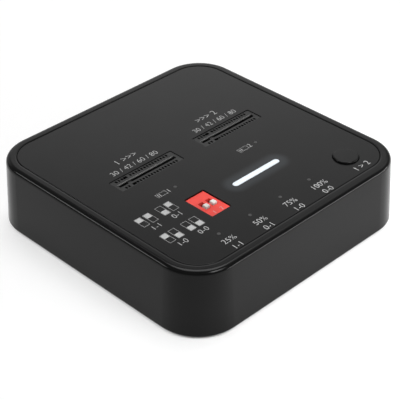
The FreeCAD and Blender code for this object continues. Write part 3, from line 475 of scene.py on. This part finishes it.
def dress(nodes, record, finishes):
    """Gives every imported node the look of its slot, and the sockets' contacts a tin of their own."""
    tin = socket_contacts()
    own = {"m2_contacts_1": tin, "m2_contacts_2": tin}
    for part in record["subparts"]:
        look = own.get(part["node"], finishes[part["material_slot"]])
        mesh = nodes[part["node"]].data
        mesh.materials.clear()
        mesh.materials.append(look.material)


def rectangle(x, y, width, height):
    left = x - width / 2
    right = x + width / 2
    low = y - height / 2
    high = y + height / 2
    return [(left, low), (right, low), (right, high), (left, high)]


class Print:
    """Flat printed marks, gathered as thin solids on one level face."""

    def __init__(self, name, level):
        self.name = name
        self.level = level
        self.mesh = bmesh.new()

    def point(self, x, y, high):
        return self.mesh.verts.new(Vector((x * MM, y * MM, self.level + high * INK * MM)))

    def solid(self, outline):
        """A filled shape from an anticlockwise outline."""
        low = [self.point(x, y, 0) for x, y in outline]
        high = [self.point(x, y, 1) for x, y in outline]
        self.mesh.faces.new(high)
        self.mesh.faces.new(low[::-1])
        for i in range(len(outline)):
            self.mesh.faces.new((low[i - 1], low[i], high[i], high[i - 1]))

    def ring(self, outer, inner):
        """A line between two outlines with the same number of points."""
        loops = []
        for outline in (outer, inner):
            loops.append([[self.point(x, y, high) for x, y in outline] for high in (0, 1)])
        (out_low, out_high), (in_low, in_high) = loops
        for i in range(len(outer)):
            self.mesh.faces.new((out_high[i - 1], out_high[i], in_high[i], in_high[i - 1]))
            self.mesh.faces.new((out_low[i], out_low[i - 1], in_low[i - 1], in_low[i]))
            self.mesh.faces.new((out_low[i - 1], out_low[i], out_high[i], out_high[i - 1]))
            self.mesh.faces.new((in_low[i], in_low[i - 1], in_high[i - 1], in_high[i]))

    def bar(self, x, y, width, height):
        self.solid(rectangle(x, y, width, height))

    def box(self, x, y, width, height, stroke):
        self.ring(rectangle(x, y, width, height), rectangle(x, y, width - 2 * stroke, height - 2 * stroke))

    def text(self, words, x, y, height):
        """Figures, centred on a place."""
        curve = bpy.data.curves.new(self.name, "FONT")
        curve.body = words
        curve.size = height * MM / FIGURE_HEIGHT
        curve.extrude = INK * MM / 2
        curve.offset = -FIGURE_THINNING * curve.size
        curve.align_x = "CENTER"
        holder = add(self.name, curve)
        drawn = bpy.data.meshes.new_from_object(holder)
        lift = self.level + INK * MM / 2
        drawn.transform(Matrix.Translation((x * MM, (y - height / 2) * MM, lift)))
        self.mesh.from_mesh(drawn)
        bpy.data.objects.remove(holder)
        bpy.data.meshes.remove(drawn)
        bpy.data.curves.remove(curve)

    def finish(self, look, body):
        mesh = bpy.data.meshes.new(self.name)
        self.mesh.to_mesh(mesh)
        self.mesh.free()
        mesh.materials.append(look.material)
        piece = add(self.name, mesh)
        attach(piece, body)


def middle(node):
    """A node's middle in plan, in millimetres."""
    low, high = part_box(node)
    return (low.x + high.x) / 2 / MM, (low.y + high.y) / 2 / MM


def mode_code(mode):
    """The setting of both levers in a mode: 1 at the back and 0 at the front."""
    return "-".join("1" if lever in MODE_RAISED[mode] else "0" for lever in (0, 1))


def slot_marks(marks):
    """Over each socket its number, with arrows from the first to the second, and the card lengths."""
    for number, words in enumerate(SLOT_MARKS, start=1):
        x, _ = middle("m2_socket_%d" % number)
        marks.text(words, x, SLOT_MARK_Y, SLOT_MARK_HEIGHT)
        marks.text(LENGTHS, x, LENGTHS_Y, LENGTHS_HEIGHT)


def drive_marks(marks):
    """Beside each drive light a small card with the fingers of its edge, and its number."""
    for number in (1, 2):
        x, y = middle("drive_light_pipe_%d" % number)
        card = x + DRIVE_MARK_OFFSET
        left = card - DRIVE_MARK_LENGTH / 2
        marks.box(card, y, DRIVE_MARK_LENGTH, DRIVE_MARK_HEIGHT, STROKE)
        for finger in range(1, DRIVE_MARK_FINGERS + 1):
            marks.bar(left + FINGER_PITCH * finger, y, FINGER_WIDTH, FINGER_LENGTH)
        marks.text(str(number), card + DRIVE_MARK_LENGTH / 2 + DRIVE_MARK_HEIGHT / 2, y, DRIVE_MARK_HEIGHT)


def progress_marks(marks):
    """Under each progress light its share in percent and the code of a mode."""
    count = len(MODE_RAISED)
    for mode in range(count):
        x, _ = middle("progress_light_pipe_%d" % (mode + 1))
        marks.text("%d%%" % (100 * (mode + 1) / count), x, PERCENT_Y, PERCENT_HEIGHT)
        marks.text(mode_code(mode), x, PROGRESS_CODE_Y, PROGRESS_CODE_HEIGHT)


def mode_marks(marks):
    """The four settings of the two levers, each a frame with a full square where the lever is."""
    for row, y in enumerate(MODE_ROWS):
        for column, x in enumerate(MODE_COLUMNS):
            mode = len(MODE_COLUMNS) * row + column
            for lever in (0, 1):
                lever_x = x + MODE_PITCH * (lever - 0.5)
                shift = MODE_CELL / 2 if lever in MODE_RAISED[mode] else -MODE_CELL / 2
                marks.bar(lever_x, y + shift, MODE_FILL, MODE_FILL)
                marks.box(lever_x, y, MODE_CELL, 2 * MODE_CELL, STROKE)
            marks.text(mode_code(mode), x, y - MODE_CODE_DROP, MODE_CODE_HEIGHT)


def panel_print(look):
    """All the marks on the panel."""
    marks = Print("panel_print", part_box("top_panel")[1].z)
    slot_marks(marks)
    drive_marks(marks)
    progress_marks(marks)
    marks.text(START_MARK, *START_MARK_PLACE, START_MARK_HEIGHT)
    mode_marks(marks)
    marks.finish(look, "case")


def switch_print(look):
    """The number of each lever, on the switch's cover."""
    marks = Print("switch_print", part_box("slide_switch_cover")[1].z)
    for number in (1, 2):
        x, y = middle("slide_lever_%d" % number)
        marks.text(str(number), x, y - LEVER_NUMBER_DROP, LEVER_NUMBER_HEIGHT)
    marks.finish(look, "case")


def snap_dome(node):
    """The push switch's snap dome, copied as a piece of its own on the case; the copy doesn't flatten as the
    button goes down.
    """
    piece = add("snap_dome", node.data.copy())
    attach(piece, "case")
    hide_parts("push_switch_dome")
    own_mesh(piece)


def flush_rim(node):
    """The housing, with the top of its rim brought down level with the panel's face."""
    piece = add("flush_housing", node.data.copy())
    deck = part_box("panel_tape")[0].z
    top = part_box("top_housing")[1].z
    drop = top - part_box("top_panel")[1].z
    for vertex in piece.data.vertices:
        share = max(vertex.co.z - deck, 0) / (top - deck)
        vertex.co.z -= drop * share ** RIM_EASE
    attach(piece, "case")
    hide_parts("top_housing")


def seen(tree):
    """1 for what the camera sees, also in gloss and through glass, and 0 for light that is thrown back."""
    path = tree.nodes.new("ShaderNodeLightPath")
    any_kind = path.outputs["Is Camera Ray"]
    for kind in ("Is Glossy Ray", "Is Transmission Ray"):
        either = tree.nodes.new("ShaderNodeMath")
        either.operation = "MAXIMUM"
        tree.links.new(any_kind, either.inputs[0])
        tree.links.new(path.outputs[kind], either.inputs[1])
        any_kind = either.outputs["Value"]
    return any_kind


def floor_lift(tree):
    """What is added to the floor's brightness, taken away as painted shade where a piece is close over it."""
    opening = tree.nodes.new("ShaderNodeAmbientOcclusion")
    opening.inputs["Distance"].default_value = CLOSED_REACH * MM
    lift = tree.nodes.new("ShaderNodeMapRange")
    lift.inputs["From Min"].default_value, lift.inputs["From Max"].default_value = CLOSED_SHARES
    lift.inputs["To Max"].default_value = FLOOR_LIFT
    tree.links.new(opening.outputs["AO"], lift.inputs["Value"])
    return lift.outputs["Result"]


def floor():
    """A plain pale floor that shows a soft shadow, and painted shade under the case where its lift is taken
    away.
    """
    look = Look("floor", grey(FLOOR_TONE), roughness=1.0, Specular_IOR_Level=0.0, Emission_Color=(1, 1, 1, 1))
    look.shine(look.product(seen(look.tree), floor_lift(look.tree)))
    mesh = bpy.data.meshes.new("floor")
    side = FLOOR_SIZE * MM
    mesh.from_pydata([(x, y, 0) for x, y in rectangle(0, 0, side, side)], [], [(0, 1, 2, 3)])
    mesh.materials.append(look.material)
    add("floor", mesh)


def direction(azimuth, elevation):
    """A unit vector."""
    turn = math.radians(azimuth)
    rise = math.radians(elevation)
    return Vector((math.sin(turn) * math.cos(rise), math.cos(turn) * math.cos(rise), math.sin(rise)))


def pale_wall(tree, ray, azimuth, elevation, inner, outer, level):
    """The brightness that a pale wall adds where a ray goes."""
    towards = tree.nodes.new("ShaderNodeVectorMath")
    towards.operation = "DOT_PRODUCT"
    towards.inputs[1].default_value = direction(azimuth, elevation)
    tree.links.new(ray, towards.inputs[0])
    wall = tree.nodes.new("ShaderNodeMapRange")
    wall.interpolation_type = "SMOOTHSTEP"
    wall.inputs["From Min"].default_value = math.cos(math.radians(outer))
    wall.inputs["From Max"].default_value = math.cos(math.radians(inner))
    wall.inputs["To Max"].default_value = level
    tree.links.new(towards.outputs["Value"], wall.inputs["Value"])
    return wall.outputs["Result"]


def sky():
    """Soft surroundings: a dim room with a few pale walls."""
    world = bpy.data.worlds.new("sky")
    bpy.context.scene.world = world
    world.use_nodes = True
    tree = world.node_tree
    ray = tree.nodes.new("ShaderNodeTexCoord").outputs["Generated"]
    total = None
    for settings in PALE_WALLS:
        added = tree.nodes.new("ShaderNodeMath")
        added.operation = "ADD"
        added.inputs[1].default_value = SKY
        tree.links.new(pale_wall(tree, ray, **settings), added.inputs[0])
        if total:
            tree.links.new(total, added.inputs[1])
        total = added.outputs["Value"]
    tree.links.new(total, tree.nodes["Background"].inputs["Color"])


def lamp(name, azimuth, elevation, distance, width, height, watts, aim=(0, 0, 0), spread=180):
    """A soft box that points at the dock, or at a place beside it."""
    data = bpy.data.lights.new(name, "AREA")
    data.shape = "RECTANGLE"
    data.size = width * MM
    data.size_y = height * MM
    data.energy = watts
    data.spread = math.radians(spread)
    holder = add(name, data)
    holder.location = direction(azimuth, elevation) * distance * MM
    holder.rotation_mode = "QUATERNION"
    ahead = Vector(aim) * MM - holder.location
    holder.rotation_quaternion = ahead.to_track_quat("-Z", "Y")
    holder.visible_camera = False


def camera():
    """The photograph's viewpoint."""
    data = bpy.data.cameras.new("camera")
    data.lens = CAMERA_LENS
    data.clip_start = CAMERA_NEAREST * MM
    ahead = direction(CAMERA_AZIMUTH, CAMERA_ELEVATION)
    facing = ahead.to_track_quat("-Z", "Y").to_matrix().to_4x4()
    roll = Matrix.Rotation(math.radians(CAMERA_ROLL), 4, "Z")
    holder = add("camera", data)
    holder.matrix_world = Matrix.Translation(Vector(CAMERA_PLACE) * MM) @ facing @ roll
    bpy.context.scene.camera = holder


clear_scene()
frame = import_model()
dress(frame["nodes"], frame["record"], looks())
flush_rim(frame["nodes"]["top_housing"])
print_ink = ink()
panel_print(print_ink)
switch_print(print_ink)
snap_dome(frame["nodes"]["push_switch_dome"])
floor()
sky()
for lamp_name, lamp_settings in LAMPS.items():
    lamp(lamp_name, **lamp_settings)
camera()
bpy.context.scene.view_settings.view_transform = "Standard"
